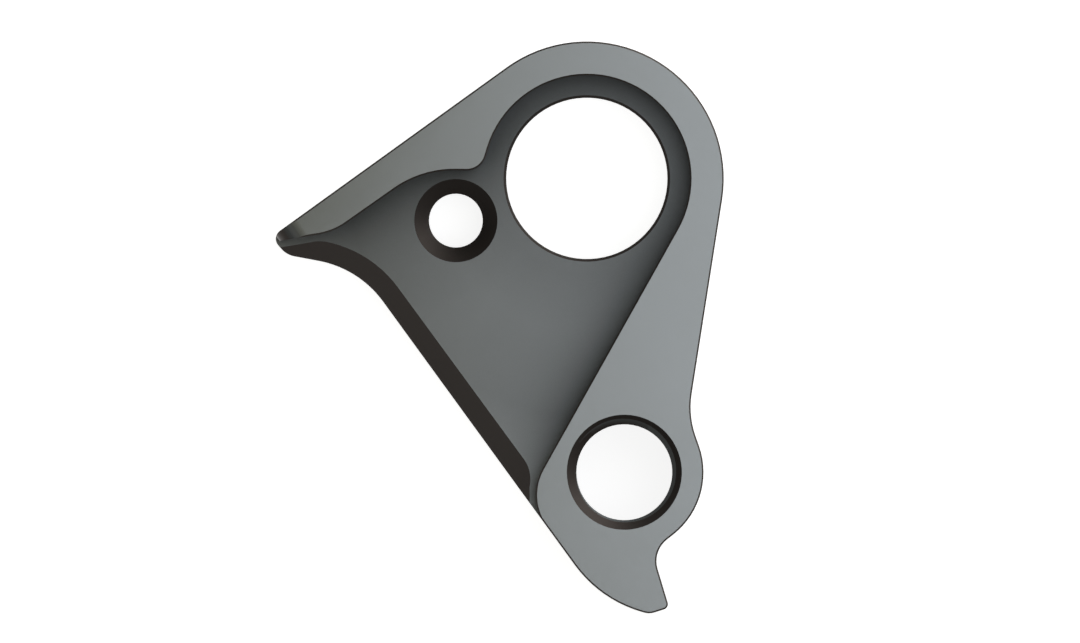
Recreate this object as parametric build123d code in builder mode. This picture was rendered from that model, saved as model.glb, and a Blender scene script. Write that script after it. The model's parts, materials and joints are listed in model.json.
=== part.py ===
# Bicycle derailleur hanger, drive side, for a frame with a 12 mm through axle.
#
# One machined plate that lies on its flat back. The origin is the middle of the axle hole on that back
# face, +X runs away from the pointed tip, +Y away from the derailleur lug, and +Z up to the rim.
# All sizes are in millimetres and degrees.
from build123d import *

import os
from math import asin, atan2, cos, degrees, hypot, radians, sin, sqrt, tan

# Heights, measured up from the flat back
rim_height = 8.0
seat_depth = 3.5
floor_height = rim_height - seat_depth

# Holes
axle_hole_radius = 7.5
axle_hole_chamfer = 0.25
screw_hole_centre = (-12.19, -3.93)
screw_hole_radius = 2.5
countersink_radius = 3.875
countersink_angle = 90.0
thread_centre = (3.49, -27.35)
thread_minor_radius = 4.459
thread_front_chamfer = 0.9
thread_back_chamfer = 0.6

# Radii of the plate's round end and of the seat, both about the axle hole, and of the derailleur lug
end_radius = 12.75
seat_radius = 9.6
lug_radius = 7.375

# Sharp edges of the rim and the back are broken by a small bevel
edge_break = 0.15
break_angle = 45.0

# The plate's outline is a belt round these rounds, taken anticlockwise. Each has its centre and its
# radius, and the belt bends inwards round one whose radius is negative, which is called a hollow. The two
# hollows beside the lug are given by their radius and by their heading from the derailleur hole.
top_round = (0.0, 0.0, end_radius)
tip_cap = (-28.02, -5.62, 0.93)
tip_underside = (-26.84, -5.19, 2.10)
flank_hollow = (-26.72, -17.09, -9.575)
heel_round = (8.33, -29.11, 11.69)
tab_toe = (5.79, -38.90, 1.58)
tab_corner = (7.03, -39.62, 0.52)
tab_notch_radius = 2.55
tab_notch_heading = -56.18
lug_round = (*thread_centre, lug_radius)
neck_hollow_radius = 8.04
neck_hollow_heading = 23.05

# A hollow stays this far clear of the round that it leads into
hollow_gap = 0.03

# The wall of the axle seat is drawn in the same way, and so is the upper edge of the bevelled flank. The
# horn of the rim is the hollow between the seat's round and the one that leaves room for the screw's head.
seat_foot = (0.225, -29.47, -5.0)
seat_round = (0.0, 0.0, seat_radius)
seat_horn_radius = 1.86
screw_clearance = (-12.30, -8.98, 9.74)
tip_bend = (-25.93, 0.84, -6.13)
tip_wall_end = (-28.60, -5.82, 0.0)
seat_mouth = (2.3, -41.5, 0.0)

bevel_angle = 45.0
bevel_drop = 2.1
bevel_start = (-36.0, -7.70, 0.0)
bevel_tip = (-24.82, -9.145, -3.30)
bevel_flank = (-26.40, -16.63, -10.945)
bevel_foot = (-8.35, -27.97, -3.10)
bevel_toe = (-3.93, -28.87, 1.40)

# The rim is rounded down to the tip, square to the upper left side
tip_heading = 215.78
tip_round_radius = 2.5

# How far the cutting shapes reach past the plate
reach = end_radius

# How closely an edge has to match the size it is looked up by
tolerance = 0.001


def belt(rounds):
    """Draw the closed belt round a list of rounds into the current BuildLine."""
    headings = []
    for here, following in zip(rounds, rounds[1:] + rounds[:1]):
        step_x = following[0] - here[0]
        step_y = following[1] - here[1]
        turn = asin((here[2] - following[2]) / hypot(step_x, step_y))
        headings.append(atan2(step_y, step_x) + turn)

    def touching(point, heading):
        return (point[0] + point[2] * sin(heading), point[1] - point[2] * cos(heading))

    for index, here in enumerate(rounds):
        arriving = headings[index - 1]
        leaving = headings[index]
        if here[2] != 0:
            side = 1 if here[2] > 0 else -1
            sweep = side * degrees(leaving - arriving) % 360
            CenterArc(here[:2], abs(here[2]), degrees(arriving) - side * 90, side * sweep)
        following = rounds[(index + 1) % len(rounds)]
        Line(touching(here, leaving), touching(following, leaving))


def hollow_beside(bulge, radius, heading):
    """Give the hollow that leads into one round, at a heading from its centre."""
    distance = bulge[2] + hollow_gap + radius
    return (
        bulge[0] + distance * cos(radians(heading)),
        bulge[1] + distance * sin(radians(heading)),
        -radius,
    )


def hollow_between(first, second, radius):
    """Give the hollow that leads into two rounds, on the right of the way from the first to the second."""
    way_x = second[0] - first[0]
    way_y = second[1] - first[1]
    apart = hypot(way_x, way_y)
    from_first = first[2] + hollow_gap + radius
    from_second = second[2] + hollow_gap + radius
    along = (apart**2 + from_first**2 - from_second**2) / (2 * apart)
    aside = sqrt(from_first**2 - along**2)
    return (
        first[0] + (along * way_x + aside * way_y) / apart,
        first[1] + (along * way_y - aside * way_x) / apart,
        -radius,
    )


def grown(rounds, distance):
    """Give the rounds whose belt runs the given distance further out."""
    return [(x, y, radius + distance) for x, y, radius in rounds]


def ring(part, radius, height):
    """Find the circular edge of one radius at one height."""
    circles = part.edges().filter_by(GeomType.CIRCLE)
    circles = circles.filter_by(lambda circle: abs(circle.radius - radius) < tolerance)
    return circles.filter_by_position(Axis.Z, height - tolerance, height + tolerance)


# Plan of the whole plate
tab_notch = hollow_beside(lug_round, tab_notch_radius, tab_notch_heading)
neck_hollow = hollow_beside(lug_round, neck_hollow_radius, neck_hollow_heading)
with BuildSketch() as plate_plan:
    with BuildLine():
        belt(
            [
                top_round,
                tip_cap,
                tip_underside,
                flank_hollow,
                heel_round,
                tab_toe,
                tab_corner,
                tab_notch,
                lug_round,
                neck_hollow,
            ]
        )
    make_face()

# Plan of the raised rim: the plate less the axle seat, which is open past the tip and along the flank
seat_horn = hollow_between(seat_round, screw_clearance, seat_horn_radius)
along_tip = (cos(radians(tip_heading)), sin(radians(tip_heading)))
across_tip = (along_tip[1], -along_tip[0])
past_tip = (
    tip_wall_end[0] + reach * across_tip[0],
    tip_wall_end[1] + reach * across_tip[1],
    0.0,
)
with BuildSketch() as rim_plan:
    add(plate_plan.sketch)
    with BuildLine():
        belt(
            [
                seat_foot,
                seat_round,
                seat_horn,
                screw_clearance,
                tip_bend,
                tip_wall_end,
                past_tip,
                (tip_cap[0] - reach, tip_cap[1], 0.0),
                (tip_cap[0] - reach, seat_mouth[1], 0.0),
                seat_mouth,
            ]
        )
    make_face(mode=Mode.SUBTRACT)

# What the bevel takes off the flank: a slab round a shape that widens downwards at the bevel's angle
bevel_width = bevel_drop * tan(radians(bevel_angle))
bevel_plane = Plane.XY.offset(floor_height - bevel_drop)
corner_radius = reach / 2
far_south = heel_round[1] - 3 * reach
far_east = 4 * reach
far_north = 3 * reach
bevel_rounds = [
    bevel_start,
    bevel_tip,
    bevel_flank,
    bevel_foot,
    bevel_toe,
    (bevel_toe[0] - bevel_toe[2] + corner_radius, far_south, corner_radius),
    (far_east, far_south, corner_radius),
    (far_east, far_north, corner_radius),
    (bevel_start[0] - reach, far_north, corner_radius),
]
with BuildPart() as flank_waste:
    with BuildSketch(bevel_plane):
        Rectangle(8 * reach, 8 * reach)
    extrude(amount=bevel_drop)
    with BuildSketch(bevel_plane):
        with BuildLine():
            belt(grown(bevel_rounds, bevel_width))
        make_face()
    extrude(amount=bevel_drop, taper=bevel_angle, mode=Mode.SUBTRACT)

# Hanger
with BuildPart() as hanger:
    # Plate up to the floor of the seat, with the flank bevelled
    with BuildSketch():
        add(plate_plan.sketch)
    extrude(amount=floor_height)
    add(flank_waste.part, mode=Mode.SUBTRACT)

    # Raised rim, with its upper edges broken all round
    with BuildSketch(Plane.XY.offset(floor_height)):
        add(rim_plan.sketch)
    extrude(amount=seat_depth - edge_break)
    with BuildSketch(Plane.XY.offset(rim_height - edge_break)):
        add(rim_plan.sketch)
    extrude(amount=edge_break, taper=break_angle)

    # Rim end rounded down to the tip, drawn in the upright plane along the tip
    tip_end = tip_wall_end[0] * along_tip[0] + tip_wall_end[1] * along_tip[1]
    tip_start = tip_end - tip_round_radius
    tip_foot = rim_height - tip_round_radius
    with BuildSketch(Plane(origin=(0, 0, 0), x_dir=(*along_tip, 0), z_dir=(*across_tip, 0))):
        with BuildLine():
            CenterArc((tip_start, tip_foot), tip_round_radius, 0, 90)
            Polyline(
                (tip_start, rim_height),
                (tip_start, rim_height + reach),
                (tip_end + reach, rim_height + reach),
                (tip_end + reach, tip_foot),
                (tip_end, tip_foot),
            )
        make_face()
    extrude(amount=end_radius + reach, mode=Mode.SUBTRACT)

    # Axle hole, countersunk hole for the fixing screw, and derailleur hole
    with Locations((0, 0, floor_height)):
        Hole(axle_hole_radius)
    with Locations((*screw_hole_centre, floor_height)):
        CounterSinkHole(screw_hole_radius, countersink_radius, counter_sink_angle=countersink_angle)
    with Locations((*thread_centre, rim_height)):
        Hole(thread_minor_radius)

    # Chamfers at the mouths of the holes
    chamfer(ring(hanger, axle_hole_radius, floor_height), length=axle_hole_chamfer)
    chamfer(ring(hanger, axle_hole_radius, 0), length=axle_hole_chamfer)
    chamfer(ring(hanger, thread_minor_radius, rim_height), length=thread_front_chamfer)
    chamfer(ring(hanger, thread_minor_radius, 0), length=thread_back_chamfer)
    chamfer(ring(hanger, screw_hole_radius, 0), length=edge_break)

    # Broken edge round the back
    back_face = hanger.faces().sort_by(Axis.Z)[0]
    chamfer(back_face.outer_wire().edges(), length=edge_break)

hanger.part.label = "hanger"
os.makedirs("parts", exist_ok=True)
export_step(hanger.part, "parts/hanger.step")
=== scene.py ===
"""Bicycle derailleur hanger: the plate with its thread, its satin metal and painted shade, and the stage
it lies on.
"""

import json
import math

import bpy
from bpy.props import FloatProperty, FloatVectorProperty, IntProperty, PointerProperty
from bpy.types import Operator, Panel, PropertyGroup
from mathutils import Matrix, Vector


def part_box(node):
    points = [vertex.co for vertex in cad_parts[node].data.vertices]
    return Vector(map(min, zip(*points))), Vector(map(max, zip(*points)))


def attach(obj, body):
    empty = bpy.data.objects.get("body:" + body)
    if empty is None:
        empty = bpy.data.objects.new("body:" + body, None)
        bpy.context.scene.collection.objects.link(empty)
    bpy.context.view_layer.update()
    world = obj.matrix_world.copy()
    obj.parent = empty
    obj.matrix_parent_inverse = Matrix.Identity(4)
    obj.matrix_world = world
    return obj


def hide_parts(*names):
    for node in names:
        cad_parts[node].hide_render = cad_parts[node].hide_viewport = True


bl_info = {
    "name": "Bicycle derailleur hanger",
    "version": (1, 0, 0),
    "blender": (4, 5, 0),
    "location": "3D View > Sidebar > Hanger",
    "description": "Builds the visual model of a machined derailleur hanger",
    "category": "Object",
}

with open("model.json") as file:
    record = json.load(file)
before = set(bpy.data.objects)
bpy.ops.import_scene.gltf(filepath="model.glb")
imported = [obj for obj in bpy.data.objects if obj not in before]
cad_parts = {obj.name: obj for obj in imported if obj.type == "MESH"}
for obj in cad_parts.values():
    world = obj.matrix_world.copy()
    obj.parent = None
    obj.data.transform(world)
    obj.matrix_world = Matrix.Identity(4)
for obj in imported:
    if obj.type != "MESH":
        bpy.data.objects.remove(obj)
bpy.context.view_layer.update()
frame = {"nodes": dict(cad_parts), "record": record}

NODE = "hanger"
BODY = "root"
PLATE = "hanger_plate"
SLOPE = "slope"

# Size of the whole picture, and where the origin stands in it
PICTURE_WIDTH = 1080
PICTURE_HEIGHT = 643
PIXELS_PER_METRE = 10744.0
ORIGIN_X = 586.34
ORIGIN_Y = 177.9
CAMERA_HEIGHT = 0.4

# Where the two soft lamps hang, how wide and high they are, and the colour of their light
TOP_LAMP_PLACE = (0.050, -0.002, 0.10)
TOP_LAMP_SIZE = (0.12, 0.13)
TOP_LAMP_COLOUR = (0.87, 0.91, 1.0)
SIDE_LAMP_PLACE = (0.131, 0.131, 0.07)
SIDE_LAMP_SIZE = (0.26, 0.10)
SIDE_LAMP_COLOUR = (1.0, 1.0, 1.0)

# The floor's width, and how bright it glows to the camera and in reflections
FLOOR_SIZE = 6.0
FLOOR_GLOW = 0.85

# Colours of the sky by how far up a direction points, from 0 along the floor to 1 straight up
SKY_STOPS = [
    (0.0, (1.0, 1.0, 1.0)),
    (0.55, (0.9, 0.89, 0.85)),
    (0.82, (0.255, 0.24, 0.18)),
    (1.0, (0.22, 0.205, 0.14)),
]

# Low down at the lower left the sky is dimmed by this share. The dimming fades out between two heights,
# and between two places on the way from the lower left to the upper right.
SKY_DIMMING = 0.75
DIM_HEIGHTS = (0.1, 0.45)
DIM_WAY = (-0.2, 0.9)
ROOT_HALF = 0.707

# Shape of the thread's groove: half the angle between its sides, the width of its bottom in pitches, and
# how far its mouth reaches into the open hole, in pitches
GROOVE_HALF_ANGLE = math.radians(30)
GROOVE_BOTTOM = 0.125
GROOVE_OVERLAP = 0.15

# Whole turns that the groove's cutter runs on past each face of the plate
SPARE_TURNS = 1

# Points closer than this are made one, on the cutter and on the plate
CUTTER_MERGE = 1e-7
PLATE_MERGE = 1e-6

# Edges that turn by more than this stay sharp when the plate is shaded smooth
SMOOTH_ANGLE = math.radians(25)

# Noise scales of the metal's grain and of the cloudy changes in its gloss, how much each changes the
# roughness, and the strength and depth of the grain's bumps
GRAIN_SCALE = 9000.0
CLOUD_SCALE = 160.0
GRAIN_ROUGHNESS = 0.05
CLOUD_ROUGHNESS = 0.06
GRAIN_STRENGTH = 0.06
GRAIN_DEPTH = 0.00002


def mount(name):
    """Give what the record states about one of the part's holes or faces."""
    for stated in frame["record"]["mounts"]:
        if stated["name"] == name:
            return stated
    raise RuntimeError(f"the record has no mount named {name}")


THREAD_PLACE = mount("derailleur_hole")["pos_m"]
THREAD_INNER_RADIUS = mount("derailleur_hole")["dims"]["r_mm"] / 1000
AXLE_HOLE_RADIUS = mount("axle_hole")["dims"]["r_mm"] / 1000
SEAT_HEIGHT = mount("seat_floor")["pos_m"][2]

# Between these values of the slope a surface goes from sloping to flat
FLAT_SLOPES = (0.9, 0.99)

# Between these heights the seat's floor ends and the rim starts
SUNK_HEIGHTS = (SEAT_HEIGHT + 0.0001, SEAT_HEIGHT + 0.0005)

# Distances from the axle's axis between which the field round its hole ends, and the far field starts
NEAR_AXLE = (4 / 3 * AXLE_HOLE_RADIUS, 2 * AXLE_HOLE_RADIUS)
FAR_FROM_AXLE = (3 * AXLE_HOLE_RADIUS, 3.75 * AXLE_HOLE_RADIUS)

# How much more painted shade darkens the seat round the axle hole, and how much less painted shade the
# seat and the corners get far off
NEAR_SHADE = 0.12
FAR_SEAT_LIGHT = 0.18
FAR_CORNER_LIGHT = 0.21

# How quickly the painted shade of a closed corner fades out as it opens up
CORNER_FALLOFF = 2.6

# Painted shade deep in the holes: slopes and walls go from the deepest tone to their full one between
# these shares of open air
DEEP_OPENNESS = (0.1, 0.45)
DEEPEST_TONE = 0.2

# Painted shade on rounded-over edges: shares of the faces' colour that are left where an edge turns
# down, and where it starts to
TURNED_SHARE = 0.2
NEARLY_FLAT_SHARE = 0.45


class ThreadSettings(PropertyGroup):
    pitch: FloatProperty(
        name="Pitch",
        description="Rise of the derailleur hole's thread in one turn",
        default=0.001,
        min=0.0005,
        max=0.002,
        precision=5,
        unit="LENGTH",
    )
    outer_radius: FloatProperty(
        name="Outer radius",
        description="Radius at the bottom of the thread's groove",
        default=0.005,
        min=0.0046,
        max=0.006,
        precision=5,
        unit="LENGTH",
    )
    start: FloatProperty(
        name="Start",
        description="Height of the groove's middle above the back, straight right of the hole's axis",
        default=0.000308,
        min=0.0,
        max=0.002,
        precision=6,
        unit="LENGTH",
    )
    steps: IntProperty(
        name="Steps",
        description="Number of straight steps in one turn of the thread",
        default=90,
        min=24,
        max=180,
    )


# The metal's colours and gloss, and the painted shade on its slopes, walls, seat and corners
class FinishAndShadeSettings(PropertyGroup):
    face_colour: FloatVectorProperty(
        name="Face colour",
        description="Colour of the flat satin faces",
        default=(0.294, 0.31, 0.315),
        size=3,
        min=0.0,
        max=1.0,
        subtype="COLOR",
    )
    # Painted shade: a darker copy of the faces' metal for the upright walls, standing in for the shade
    # they fall in
    wall_shade_colour: FloatVectorProperty(
        name="Wall colour",
        description="Colour of the upright walls",
        default=(0.17, 0.172, 0.175),
        size=3,
        min=0.0,
        max=1.0,
        subtype="COLOR",
    )
    # Painted shade: a darker copy of the faces' metal for the bevels, the countersink and the broken
    # edges, standing in for the dim surroundings they reflect
    slope_shade_colour: FloatVectorProperty(
        name="Slope colour",
        description="Colour of the bevels, the countersink and the broken edges",
        default=(0.040, 0.0345, 0.0315),
        size=3,
        min=0.0,
        max=1.0,
        subtype="COLOR",
    )
    roughness: FloatProperty(
        name="Roughness",
        description="How far the satin faces and walls spread a reflection",
        default=0.36,
        min=0.05,
        max=1.0,
        subtype="FACTOR",
    )
    slope_roughness: FloatProperty(
        name="Slope roughness",
        description="How far the bevels, the countersink and the broken edges spread a reflection",
        default=0.56,
        min=0.05,
        max=1.0,
        subtype="FACTOR",
    )
    # Painted shade: the sunken seat's floor is darkened against the rim, though both are the same metal
    seat_painted_shade: FloatProperty(
        name="Seat shade",
        description="How much darker the sunken seat's floor is than the rim",
        default=0.28,
        min=0.0,
        max=0.6,
        subtype="FACTOR",
    )
    # Painted shade in closed corners, from how open the surface is to the air
    corner_painted_shade: FloatProperty(
        name="Corner shade",
        description="How much darker a flat face is in a closed corner than in the open",
        default=0.82,
        min=0.3,
        max=1.0,
        subtype="FACTOR",
    )
    # How far the painted corner shade reaches
    corner_reach: FloatProperty(
        name="Corner reach",
        description="How far out from a wall its shade reaches",
        default=0.012,
        min=0.001,
        max=0.05,
        precision=4,
        unit="LENGTH",
    )


class StageSettings(PropertyGroup):
    top_strength: FloatProperty(
        name="Top strength",
        description="Brightness of the soft lamp overhead, as seen in its reflection",
        default=1.18,
        min=0.0,
        max=20.0,
    )
    side_strength: FloatProperty(
        name="Side strength",
        description="Brightness of the soft lamp at the side, as seen in its reflection",
        default=5.6,
        min=0.0,
        max=20.0,
    )
    floor_colour: FloatVectorProperty(
        name="Floor colour",
        description="Colour of the floor",
        default=(0.45, 0.45, 0.45),
        size=3,
        min=0.0,
        max=1.0,
        subtype="COLOR",
    )


class Wire:
    """One output of a shader node. Python's operators on it add Math nodes."""

    def __init__(self, tree, socket=None):
        self.tree = tree
        self.socket = socket

    def node(self, kind, settings=None, sockets=None, output=0):
        """Add a node of any kind, with its settings and its inputs, and give one of its outputs."""
        node = self.tree.nodes.new(kind)
        for name, value in (settings or {}).items():
            if name == "stops":
                ramp = node.color_ramp
                while len(ramp.elements) < len(value):
                    ramp.elements.new(1.0)
                for element, (position, colour) in zip(ramp.elements, value):
                    element.position = position
                    element.color = (*colour, 1.0)
            else:
                setattr(node, name, value)
        for name, value in (sockets or {}).items():
            if isinstance(value, Wire):
                self.tree.links.new(value.socket, node.inputs[name])
            else:
                node.inputs[name].default_value = value
        return Wire(self.tree, node.outputs[output] if len(node.outputs) else None)

    def maths(self, operation, *values):
        return self.node("ShaderNodeMath", {"operation": operation}, dict(enumerate(values)))

    def __add__(self, other):
        return self.maths("ADD", self, other)

    def __radd__(self, other):
        return self.maths("ADD", other, self)

    def __sub__(self, other):
        return self.maths("SUBTRACT", self, other)

    def __rsub__(self, other):
        return self.maths("SUBTRACT", other, self)

    def __mul__(self, other):
        return self.maths("MULTIPLY", self, other)

    def __rmul__(self, other):
        return self.maths("MULTIPLY", other, self)

    def __pow__(self, other):
        return self.maths("POWER", self, other)


def multiply_colours(first, second):
    """Multiply two colours. A Mix node takes them at its inputs 6 and 7, and gives its colour at 2."""
    return first.node(
        "ShaderNodeMix",
        {"data_type": "RGBA", "blend_type": "MULTIPLY"},
        {0: 1.0, 6: first, 7: second},
        output=2,
    )


def fade(value, bounds, first, last):
    """Go from the first number to the last while a wire's value goes from one bound to the other."""
    start, end = bounds
    inputs = {
        "Value": value,
        "From Min": start,
        "From Max": end,
        "To Min": first,
        "To Max": last,
    }
    return value.node("ShaderNodeMapRange", sockets=inputs)


def along(vector, axis):
    """Give one of a vector's three numbers, by the name of its axis."""
    return vector.node("ShaderNodeSeparateXYZ", sockets={"Vector": vector}, output=axis)


def new_tree(owner):
    owner.use_nodes = True
    owner.node_tree.nodes.clear()
    return Wire(owner.node_tree)


def facing_shade_colour(slope, finish):
    """Painted shade by how far the surface faces up: the faces' colour, darkened on the slopes, walls
    and rounded edges. 0 is the back, 0.5 the walls and 1 the front.
    """
    face = tuple(finish.face_colour)
    wall = tuple(finish.wall_shade_colour)
    slope_shade = tuple(finish.slope_shade_colour)
    turned_shade = tuple(TURNED_SHARE * part for part in face)
    nearly_flat_shade = tuple(NEARLY_FLAT_SHARE * part for part in face)
    stops = [
        (0.0, face),
        (0.02, face),
        (0.10, slope_shade),
        (0.40, slope_shade),
        (0.47, wall),
        (0.505, wall),
        (0.54, slope_shade),
        (0.86, slope_shade),
        (0.93, turned_shade),
        (0.98, nearly_flat_shade),
        (1.0, face),
    ]
    return slope.node("ShaderNodeValToRGB", {"stops": stops}, {"Fac": slope * 0.5 + 0.5})


def painted_shade_tone(place, slope, finish):
    """Painted shade: darken the seat's floor, the corners that walls close off, and the depths of the
    holes.
    """
    from_axle = place.node(
        "ShaderNodeVectorMath", {"operation": "LENGTH"}, {0: place}, output="Value"
    )
    openness = place.node(
        "ShaderNodeAmbientOcclusion",
        {"samples": 16, "only_local": True},
        {"Distance": finish.corner_reach},
        output="AO",
    )
    front = fade(slope, FLAT_SLOPES, 0.0, 1.0)
    sunk = fade(along(place, "Z"), SUNK_HEIGHTS, 1.0, 0.0)
    near = fade(from_axle, NEAR_AXLE, 1.0, 0.0)
    far = fade(from_axle, FAR_FROM_AXLE, 0.0, 1.0)
    seat_painted_shade = finish.seat_painted_shade + NEAR_SHADE * near - FAR_SEAT_LIGHT * far
    seat = 1.0 - front * sunk * seat_painted_shade
    corner_painted_shade = finish.corner_painted_shade - FAR_CORNER_LIGHT * far
    corner = 1.0 - corner_painted_shade * (1.0 - openness ** CORNER_FALLOFF)
    deep = fade(openness, DEEP_OPENNESS, DEEPEST_TONE, 1.0)
    return seat * (corner * front + deep * (1.0 - front))


def satin_metal(finish):
    """Grey satin metal with a fine grain: light on the flat faces, with painted shade that darkens the
    slopes, walls, rounded edges, seat, closed corners and hole depths.
    """
    material = bpy.data.materials.new("satin_metal")
    start = new_tree(material)
    place = start.node("ShaderNodeTexCoord", output="Object")
    slope = start.node("ShaderNodeAttribute", {"attribute_name": SLOPE}, output="Fac")

    # Painted shade: the colour is darkened in the seat, in closed corners and deep in the holes, and by
    # how the surface faces
    tone = painted_shade_tone(place, slope, finish)
    grey = start.node("ShaderNodeCombineXYZ", sockets={"X": tone, "Y": tone, "Z": tone})
    colour = multiply_colours(facing_shade_colour(slope, finish), grey)

    grain = start.node(
        "ShaderNodeTexNoise",
        sockets={"Vector": place, "Scale": GRAIN_SCALE, "Detail": 3.0, "Roughness": 0.6},
    )
    cloud = start.node(
        "ShaderNodeTexNoise", sockets={"Vector": place, "Scale": CLOUD_SCALE, "Detail": 2.0}
    )
    normal = start.node(
        "ShaderNodeBump",
        sockets={"Strength": GRAIN_STRENGTH, "Distance": GRAIN_DEPTH, "Height": grain},
    )

    # This is 1 where the surface slopes at 45 degrees, and 0 on flat faces and upright walls
    level = slope * slope
    slanted = 4.0 * level * (1.0 - level)
    more_rough = finish.slope_roughness - finish.roughness
    rough = finish.roughness + more_rough * slanted
    rough = rough + (cloud - 0.5) * CLOUD_ROUGHNESS + (grain - 0.5) * GRAIN_ROUGHNESS
    metal = start.node(
        "ShaderNodeBsdfPrincipled",
        sockets={
            "Base Color": colour,
            "Metallic": 1.0,
            "Roughness": rough,
            "Normal": normal,
        },
    )
    start.node("ShaderNodeOutputMaterial", sockets={"Surface": metal})
    return material


def select_only(piece):
    bpy.ops.object.select_all(action="DESELECT")
    piece.select_set(True)
    bpy.context.view_layer.objects.active = piece


def thread_cutter(thread):
    """Sweep the groove of the thread up round the hole's axis, past both ends of the hole."""
    axis = (THREAD_PLACE[0], THREAD_PLACE[1], 0.0)
    back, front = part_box(NODE)
    turns = math.ceil((front[2] - back[2]) / thread.pitch) + 2 * SPARE_TURNS
    middle = thread.start - SPARE_TURNS * thread.pitch
    inner_radius = THREAD_INNER_RADIUS - GROOVE_OVERLAP * thread.pitch
    depth = thread.outer_radius - inner_radius
    outer_width = GROOVE_BOTTOM * thread.pitch
    inner_width = outer_width + 2 * depth * math.tan(GROOVE_HALF_ANGLE)

    bpy.ops.object.select_all(action="DESELECT")
    bpy.ops.mesh.primitive_plane_add(
        size=1.0,
        location=(axis[0] + inner_radius + depth / 2, axis[1], middle),
        rotation=(math.pi / 2, 0.0, 0.0),
    )
    cutter = bpy.context.object
    cutter.name = "thread_groove"
    cutter.scale = (depth, inner_width, 1.0)
    bpy.ops.object.transform_apply(location=False, rotation=True, scale=True)
    bpy.context.scene.cursor.location = axis
    bpy.ops.object.origin_set(type="ORIGIN_CURSOR")

    # The groove narrows towards its bottom
    for vertex in cutter.data.vertices:
        if vertex.co.x > inner_radius + depth / 2:
            vertex.co.z = middle + (vertex.co.z - middle) * outer_width / inner_width

    bpy.ops.object.modifier_add(type="SCREW")
    sweep = cutter.modifiers[-1]
    sweep.axis = "Z"
    sweep.angle = math.tau
    sweep.screw_offset = thread.pitch
    sweep.iterations = turns
    sweep.steps = thread.steps
    sweep.render_steps = thread.steps
    bpy.ops.object.modifier_apply(modifier=sweep.name)

    # The swept groove is open at its two ends, which have four sides each
    bpy.ops.object.mode_set(mode="EDIT")
    bpy.ops.mesh.select_all(action="SELECT")
    bpy.ops.mesh.remove_doubles(threshold=CUTTER_MERGE)
    bpy.ops.mesh.fill_holes(sides=4)
    bpy.ops.mesh.select_all(action="SELECT")
    bpy.ops.mesh.normals_make_consistent(inside=False)
    bpy.ops.object.mode_set(mode="OBJECT")
    return cutter


def mark_slopes(piece):
    """Store at each face corner how far the surface faces up, from -1 to 1."""
    mesh = piece.data
    slope = mesh.attributes.new(SLOPE, "FLOAT", "CORNER")
    slope.data.foreach_set("value", [corner.vector.z for corner in mesh.corner_normals])


class HANGER_OT_plate(Operator):
    """Build the plate from the solid, with the thread cut in the derailleur hole"""

    bl_idname = "hanger.plate"
    bl_label = "Plate"

    def execute(self, context):
        plate = bpy.data.objects.new(PLATE, frame["nodes"][NODE].data.copy())
        plate.data.name = PLATE
        context.scene.collection.objects.link(plate)
        cutter = thread_cutter(context.scene.hanger_thread)

        # The solid's mesh is loose triangles, so its copy is merged before it is cut
        select_only(plate)
        bpy.ops.object.mode_set(mode="EDIT")
        bpy.ops.mesh.select_all(action="SELECT")
        bpy.ops.mesh.remove_doubles(threshold=PLATE_MERGE)
        bpy.ops.object.mode_set(mode="OBJECT")
        bpy.ops.mesh.customdata_custom_splitnormals_clear()

        bpy.ops.object.modifier_add(type="BOOLEAN")
        cut = plate.modifiers[-1]
        cut.operation = "DIFFERENCE"
        cut.solver = "EXACT"
        cut.object = cutter
        bpy.ops.object.modifier_apply(modifier=cut.name)
        bpy.data.objects.remove(cutter)

        select_only(plate)
        bpy.ops.object.shade_smooth_by_angle(angle=SMOOTH_ANGLE)
        mark_slopes(plate)

        plate.data.materials.clear()
        plate.data.materials.append(satin_metal(context.scene.hanger_finish))
        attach(plate, BODY)
        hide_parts(NODE)
        return {"FINISHED"}


def soft_lamp(name, place, size, strength, colour):
    """Add a soft lamp that faces the origin. Its strength is the brightness seen in its reflection."""
    width, height = size
    bpy.ops.object.select_all(action="DESELECT")
    facing = Vector(place).to_track_quat("Z", "Y").to_euler()
    bpy.ops.object.light_add(type="AREA", location=place, rotation=facing)
    lamp = bpy.context.object
    lamp.name = name
    lamp.data.shape = "RECTANGLE"
    lamp.data.size = width
    lamp.data.size_y = height
    lamp.data.color = colour
    lamp.data.energy = strength * math.pi * width * height
    lamp.visible_camera = False


def white_floor(colour):
    """Plain paint that takes the shadow, and glows so that the camera and reflections see it white."""
    material = bpy.data.materials.new("floor_white")
    start = new_tree(material)
    camera_ray = start.node("ShaderNodeLightPath", output="Is Camera Ray")
    glossy_ray = start.node("ShaderNodeLightPath", output="Is Glossy Ray")
    through_ray = start.node("ShaderNodeLightPath", output="Is Transmission Ray")
    seen = camera_ray + glossy_ray + through_ray
    paint = start.node("ShaderNodeBsdfDiffuse", sockets={"Color": (*colour, 1.0)})
    glow = start.node("ShaderNodeEmission", sockets={"Strength": seen * FLOOR_GLOW})
    both = start.node("ShaderNodeAddShader", sockets={0: paint, 1: glow})
    start.node("ShaderNodeOutputMaterial", sockets={"Surface": both})
    return material


def studio_sky():
    """Pale surroundings, darker overhead, and dimmed low at the lower left except to the camera."""
    world = bpy.data.worlds.new("studio")
    start = new_tree(world)
    direction = start.node("ShaderNodeTexCoord", output="Generated")
    up = along(direction, "Z")
    colour = start.node("ShaderNodeValToRGB", {"stops": SKY_STOPS}, {"Fac": up})
    way = (along(direction, "X") + along(direction, "Y")) * ROOT_HALF
    dimming = fade(up, DIM_HEIGHTS, 1.0, 0.0) * fade(way, DIM_WAY, SKY_DIMMING, 0.0)
    camera_ray = start.node("ShaderNodeLightPath", output="Is Camera Ray")
    strength = 1.0 - dimming * (1.0 - camera_ray)
    sky = start.node("ShaderNodeBackground", sockets={"Color": colour, "Strength": strength})
    start.node("ShaderNodeOutputWorld", sockets={"Surface": sky})
    return world


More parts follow.
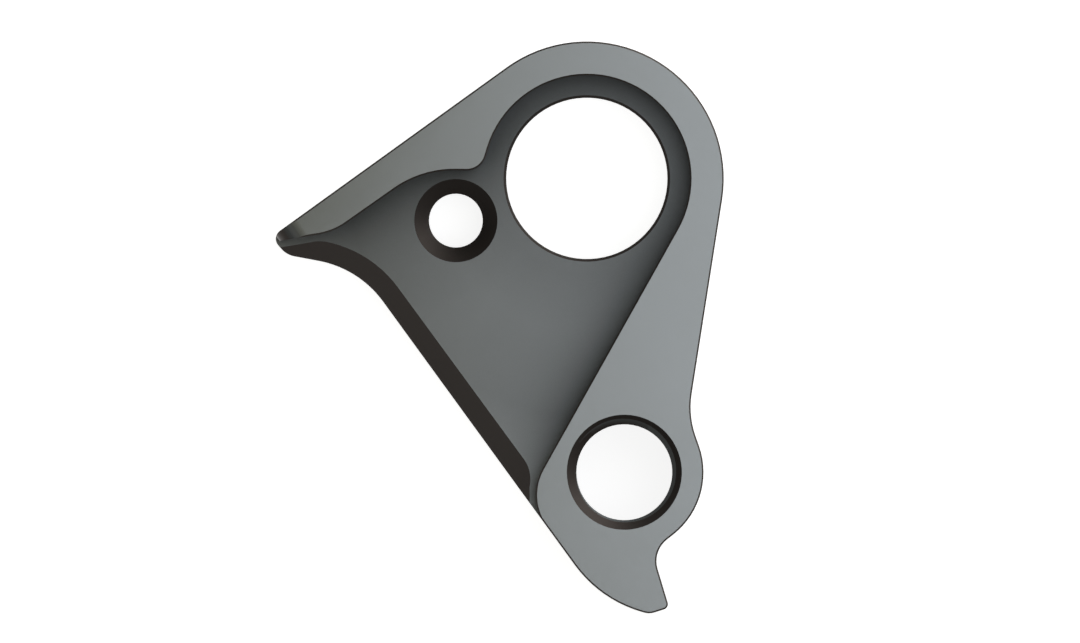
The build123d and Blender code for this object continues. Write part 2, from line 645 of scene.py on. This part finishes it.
class HANGER_OT_stage(Operator):
    """Set up the floor, the lamps, the surroundings and the camera"""

    bl_idname = "hanger.stage"
    bl_label = "Stage"

    def execute(self, context):
        stage = context.scene.hanger_stage
        scene = context.scene
        scene.view_settings.view_transform = "Standard"

        bpy.ops.object.select_all(action="DESELECT")
        bpy.ops.mesh.primitive_plane_add(size=FLOOR_SIZE, location=(0.0, 0.0, 0.0))
        floor = context.object
        floor.name = "floor"
        floor.data.materials.append(white_floor(stage.floor_colour))

        soft_lamp("top_lamp", TOP_LAMP_PLACE, TOP_LAMP_SIZE, stage.top_strength, TOP_LAMP_COLOUR)
        soft_lamp(
            "side_lamp", SIDE_LAMP_PLACE, SIDE_LAMP_SIZE, stage.side_strength, SIDE_LAMP_COLOUR
        )
        scene.world = studio_sky()

        # The picture's middle, measured from the origin
        view_x = ((PICTURE_WIDTH - 1) / 2 - ORIGIN_X) / PIXELS_PER_METRE
        view_y = (ORIGIN_Y - (PICTURE_HEIGHT - 1) / 2) / PIXELS_PER_METRE
        bpy.ops.object.camera_add(
            location=(view_x, view_y, CAMERA_HEIGHT), rotation=(0.0, 0.0, 0.0)
        )
        camera = context.object
        camera.name = "camera"
        camera.data.type = "ORTHO"
        camera.data.ortho_scale = PICTURE_WIDTH / PIXELS_PER_METRE
        camera.data.clip_start = 0.01
        camera.data.clip_end = 10.0
        scene.camera = camera
        return {"FINISHED"}


class HANGER_PT_panel(Panel):
    bl_label = "Derailleur hanger"
    bl_idname = "HANGER_PT_panel"
    bl_space_type = "VIEW_3D"
    bl_region_type = "UI"
    bl_category = "Hanger"

    def draw(self, context):
        layout = self.layout
        for group in ("hanger_thread", "hanger_finish", "hanger_stage"):
            settings = getattr(context.scene, group)
            box = layout.box()
            for name in settings.__annotations__:
                box.prop(settings, name)
        layout.operator(HANGER_OT_plate.bl_idname)
        layout.operator(HANGER_OT_stage.bl_idname)


SETTINGS = (ThreadSettings, FinishAndShadeSettings, StageSettings)
CLASSES = (*SETTINGS, HANGER_OT_plate, HANGER_OT_stage, HANGER_PT_panel)


def register():
    for item in CLASSES:
        bpy.utils.register_class(item)
    bpy.types.Scene.hanger_thread = PointerProperty(type=ThreadSettings)
    bpy.types.Scene.hanger_finish = PointerProperty(type=FinishAndShadeSettings)
    bpy.types.Scene.hanger_stage = PointerProperty(type=StageSettings)


def unregister():
    del bpy.types.Scene.hanger_stage
    del bpy.types.Scene.hanger_finish
    del bpy.types.Scene.hanger_thread
    for item in reversed(CLASSES):
        bpy.utils.unregister_class(item)


def main():
    register()
    bpy.ops.hanger.plate()
    bpy.ops.hanger.stage()


if __name__ == "__main__":
    main()
